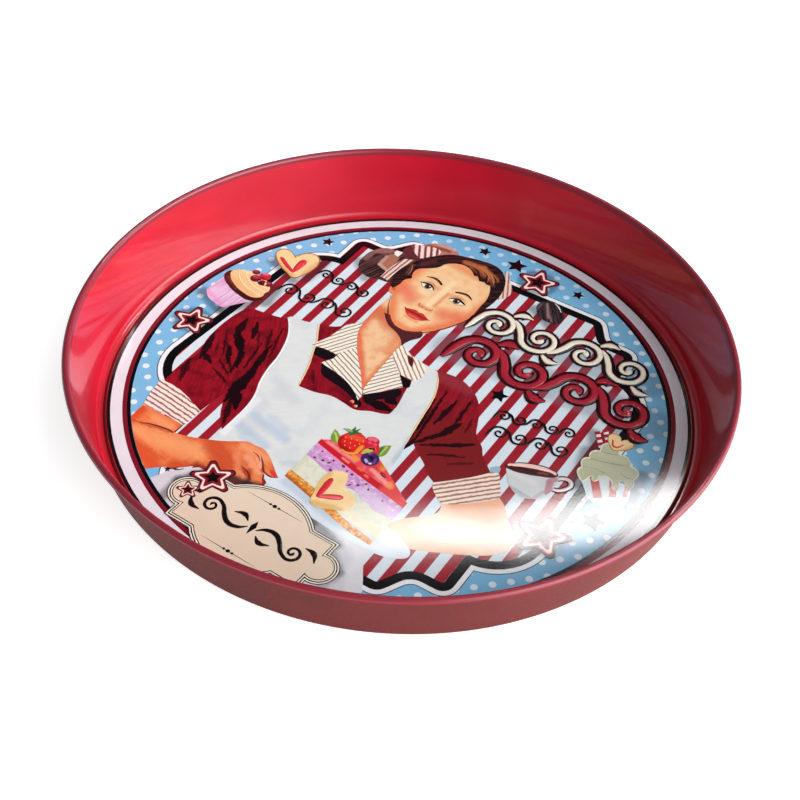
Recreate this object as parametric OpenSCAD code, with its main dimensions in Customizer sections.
// Round serving tray: a pan pressed from one sheet of tinplate, its edge rolled round
// a stiffening wire, and a decorated floor printed in thin flat films of enamel.
// Millimetres. Z is up and the tray stands on the plane z = 0, centred on the Z axis.

/* [Pan] */
// Diameter over the rolled edge
tray_d = 330.2; // [300:0.1:360]
// Height from the table to the top of the rolled edge
tray_h = 39.2; // [30:0.1:50]
// Thickness of the tinplate sheet
sheet_t = 0.4; // [0.3:0.05:0.6]
// Lean of the wall outwards from upright, in degrees
wall_lean = 13.5; // [5:0.5:20]
// Radius of the cove between the foot ring and the wall, at the middle of the sheet
cove_r = 3.6; // [3:0.1:5]

/* [Floor panel] */
// Radius at which the raised floor panel ends
panel_r = 147.7; // [140:0.1:150]
// Height of the floor panel above the foot ring
panel_rise = 0.8; // [0.5:0.1:1.2]
// Radius of the two bends of the panel's step, at the middle of the sheet
step_r = 1.0; // [0.8:0.1:1.5]

/* [Rolled edge] */
// Diameter over the rolled edge's bead
bead_d = 3.6; // [3:0.1:4.5]
// How far the roll turns round the wire, in degrees
roll_turn = 306.5; // [280:0.5:310]
// Gap between the wire and the sheet rolled round it
wire_gap = 0.05; // [0.02:0.01:0.2]

/* [Printed border] */
// Outer radius of the outer black line
edge_line_r = 147.4; // [140:0.1:147.5]
// Outer radius of the white band
white_band_r = 145.6; // [138:0.1:146]
// Outer radius of the red band
red_band_r = 139.7; // [134:0.1:141]
// Outer radius of the inner black line
inner_line_r = 137.4; // [130:0.1:139]
// Outer radius of the blue ground
ground_r = 135.6; // [128:0.1:137]

/* [Plaque] */
// How far the plaque reaches to the right of the tray's centre
plaque_right = 113.5; // [111:0.1:115]
// How far its left side reaches at the upper corner
plaque_upper_left = 112; // [110:0.1:114]
// How far its left side reaches at the lower corner
plaque_lower_left = 118; // [112:0.1:119]
// How far the plaque reaches above the tray's centre
plaque_top = 112.5; // [111:0.1:114]
// How far it reaches below the tray's centre
plaque_bottom = 118.5; // [116:0.1:119]
// Width of the fine black line round the plaque
keyline_w = 0.5; // [0.4:0.1:0.8]
// Width of the plaque's white edge
white_edge_w = 2.5; // [1.5:0.1:3]
// Width of the plaque's black frame
frame_w = 4.8; // [3:0.1:6]
// Distance from one red stripe to the next
stripe_pitch = 10.1; // [8:0.1:14]
// Width of a red stripe
red_stripe_w = 4.9; // [3:0.1:7]
// Distance of the middle red stripe left of the tray's centre
stripes_left = 0.8; // [0:0.1:3]

/* [Name label] */
// Distance of the label's centre left of the tray's centre
label_left = 7; // [0:0.5:12]
// Distance of the label's centre below the tray's centre
label_down = 117; // [112:0.5:118]
// Turn of the label, in degrees
label_turn = -2.5; // [-5:0.5:5]
// Width of the label's lined border
label_border_w = 2.7; // [2:0.1:4]

/* [Films] */
// Thickness of the white base coat
base_t = 0.03; // [0.02:0.01:0.1]
// Thickness of one film of colour
film_t = 0.04; // [0.02:0.01:0.1]

/* [Hidden] */
fine = 180;

bead_mid_r = (bead_d - sheet_t) / 2;
bead_at = [tray_d / 2 - bead_d / 2, tray_h - bead_d / 2];
wire_r = bead_d / 2 - sheet_t - wire_gap;
floor_mid = panel_rise + sheet_t / 2;
base_z = panel_rise + sheet_t;
film_z = base_z + base_t;

// Angle of each of the two equal bends that step the panel down to the foot ring
step_angle = acos(1 - panel_rise / (2 * step_r));
step_out = panel_r + 2 * step_r * sin(step_angle);

// The cove touches the foot ring's flat and the wall, whose middle line touches the roll
cove_z = sheet_t / 2 + cove_r;
wall_touch = bead_at + bead_mid_r * [-cos(wall_lean), sin(wall_lean)];
cove_touch_z = cove_z - cove_r * sin(wall_lean);
cove_touch_x = wall_touch[0] - (wall_touch[1] - cove_touch_z) * tan(wall_lean);
cove_at = [cove_touch_x - cove_r * cos(wall_lean), cove_z];

// Points on an arc, from angle a0 to a1
function arc(c, r, a0, a1, n) = [for (i = [0:n]) let (a = a0 + (a1 - a0) * i / n) c + r * [cos(a), sin(a)]];

// The bends of the sheet from the centre outwards:
// [centre, radius at mid sheet, first angle, last angle, turn (1 left, -1 right), steps]
bends = [
    [[panel_r, floor_mid - step_r], step_r, 90, 90 - step_angle, -1, 5],
    [[step_out, sheet_t / 2 + step_r], step_r, 270 - step_angle, 270, 1, 5],
    [cove_at, cove_r, 270, 360 - wall_lean, 1, 10],
    [bead_at, bead_mid_r, 180 - wall_lean, 180 - wall_lean - roll_turn, -1, 32]
];

// One side of the sheet: 1 is the face that the print is on, -1 the underside
function face(side) = [
    for (b = bends) each arc(b[0], b[1] - b[4] * side * sheet_t / 2, b[2], b[3], b[5])
];
function reversed(list) = [for (i = [len(list) - 1:-1:0]) list[i]];

module tray_pan() {
    color("crimson")
    rotate_extrude($fn = fine)
    polygon(concat(
        [[0, floor_mid + sheet_t / 2]], face(1),
        reversed(face(-1)), [[0, floor_mid - sheet_t / 2]]
    ));
}

module rim_wire() {
    color("silver")
    rotate_extrude($fn = fine)
    translate(bead_at)
    circle(r = wire_r, $fn = 48);
}

// A closed outline from the points of its four quadrants, each given as if it were the
// upper right one, in order from the top round to the right
function four_corners(upper_right, lower_right, lower_left, upper_left) = concat(
    upper_right,
    reversed([for (p = lower_right) [p[0], -p[1]]]),
    [for (p = lower_left) [-p[0], -p[1]]],
    reversed([for (p = upper_left) [-p[0], p[1]]])
);

// Plaque: two rounded shoulders at each corner, and a large round side that meets the
// lower shoulder in a sharp inner corner. inset draws a line parallel to the outline,
// reach is how far the quadrant goes sideways and rise how far it goes up or down.
upper_x = 56;
upper_r = 10;
hollow_x = 74;
hollow_r = 6;
lower_x = 81.3;
lower_r = 9;
side_r = 30;

function plaque_quadrant(inset, reach, rise, shoulder, side_y) =
    let (
        upper_at = [upper_x, rise - upper_r],
        hollow_at = [hollow_x, shoulder + hollow_r],
        span = hollow_at - upper_at,
        slope = acos((upper_r + hollow_r) / norm(span)) + atan2(span[1], span[0]),
        neck_x = lower_x + lower_r - inset,
        side_x = reach - side_r,
        side_now = side_r - inset,
        corner = asin((neck_x - side_x) / side_now)
    ) concat(
        arc(upper_at, upper_r - inset, 90, slope, 6),
        arc(hollow_at, hollow_r + inset, 180 + slope, 270, 6),
        arc([lower_x, shoulder - lower_r], lower_r - inset, 90, 0, 7),
        arc([side_x, side_y], side_now, 90 - corner, 0, 10)
    );

// Height of the shoulders, and of the centres of the large round sides
top_shoulder = 98.4;
bottom_shoulder = 102.4;
top_side_y = 47.4;
bottom_side_y = 51.4;
bottom_left_side_y = 39;

module plaque_outline(inset) {
    polygon(four_corners(
        plaque_quadrant(inset, plaque_right, plaque_top, top_shoulder, top_side_y),
        plaque_quadrant(inset, plaque_right, plaque_bottom, bottom_shoulder, bottom_side_y),
        plaque_quadrant(inset, plaque_lower_left, plaque_bottom, bottom_shoulder, bottom_left_side_y),
        plaque_quadrant(inset, plaque_upper_left, plaque_top, top_shoulder, top_side_y)
    ));
}

// Name label: a low arch at the top and bottom, square shoulders and a round lobe at each end
arch_r = 33.3;
arch_at = [0, 27 - arch_r];
shoulder = [38.3, 17];
lobe_r = 9.8;
lobe_at = [shoulder[0] + 0.2, 0];

function label_quadrant(inset) =
    let (
        top = shoulder[1] - inset,
        side = shoulder[0] - inset,
        arch_now = arch_r - inset,
        lobe_now = lobe_r - inset,
        arch_end = asin((top - arch_at[1]) / arch_now),
        lobe_end = acos((side - lobe_at[0]) / lobe_now)
    ) concat(
        arc(arch_at, arch_now, 90, arch_end, 8),
        [[side, top]],
        arc(lobe_at, lobe_now, lobe_end, 0, 9)
    );

module label_outline(inset) {
    translate([-label_left, -label_down])
    rotate(label_turn)
    polygon(let (q = label_quadrant(inset)) four_corners(q, q, q, q));
}

module film(z = film_z, t = film_t) {
    translate([0, 0, z])
    linear_extrude(t)
    children();
}

module ring(outer, inner) {
    difference() {
        circle(r = outer, $fn = fine);
        circle(r = inner, $fn = fine);
    }
}

// The printed colours lie side by side, so a film is cut away where the label covers it
module border_film(outer, inner) {
    film()
    difference() {
        ring(outer, inner);
        label_outline(0);
    }
}

module print_base_coat() {
    color("white")
    film(base_z, base_t)
    circle(r = edge_line_r, $fn = fine);
}

module print_edge_line() {
    color("black") border_film(edge_line_r, white_band_r);
}

module print_white_band() {
    color("gainsboro") border_film(white_band_r, red_band_r);
}

module print_red_band() {
    color("firebrick") border_film(red_band_r, inner_line_r);
}

module print_inner_line() {
    color("black") border_film(inner_line_r, ground_r);
}

module print_blue_ground() {
    color("skyblue")
    film()
    difference() {
        circle(r = ground_r, $fn = fine);
        plaque_outline(0);
        label_outline(0);
    }
}

// A band of the plaque between two insets
module plaque_band(from, to) {
    film()
    difference() {
        plaque_outline(from);
        plaque_outline(to);
        label_outline(0);
    }
}

white_edge_at = keyline_w;
frame_at = white_edge_at + white_edge_w;
stripes_at = frame_at + frame_w;

module print_plaque_keyline() {
    color("black") plaque_band(0, white_edge_at);
}

module print_plaque_white_edge() {
    color("white") plaque_band(white_edge_at, frame_at);
}

module print_plaque_frame() {
    color("black") plaque_band(frame_at, stripes_at);
}

stripe_count = ceil(plaque_lower_left / stripe_pitch);

// The upright bars that the red stripes are cut from, longer than the panel
module red_bars() {
    for (i = [-stripe_count:stripe_count])
        translate([i * stripe_pitch - stripes_left, 0])
        square([red_stripe_w, 3 * plaque_bottom], center = true);
}

module print_white_stripes() {
    color("aliceblue")
    film()
    difference() {
        plaque_outline(stripes_at);
        red_bars();
        label_outline(0);
    }
}

module print_red_stripes() {
    color("brown")
    film()
    difference() {
        intersection() {
            plaque_outline(stripes_at);
            red_bars();
        }
        label_outline(0);
    }
}

module print_label_border() {
    color("dimgray")
    film()
    difference() {
        label_outline(0);
        label_outline(label_border_w);
    }
}

module print_label_panel() {
    color("bisque")
    film()
    label_outline(label_border_w);
}

tray_pan();
rim_wire();
print_base_coat();
print_edge_line();
print_white_band();
print_red_band();
print_inner_line();
print_blue_ground();
print_plaque_keyline();
print_plaque_white_edge();
print_plaque_frame();
print_white_stripes();
print_red_stripes();
print_label_border();
print_label_panel();
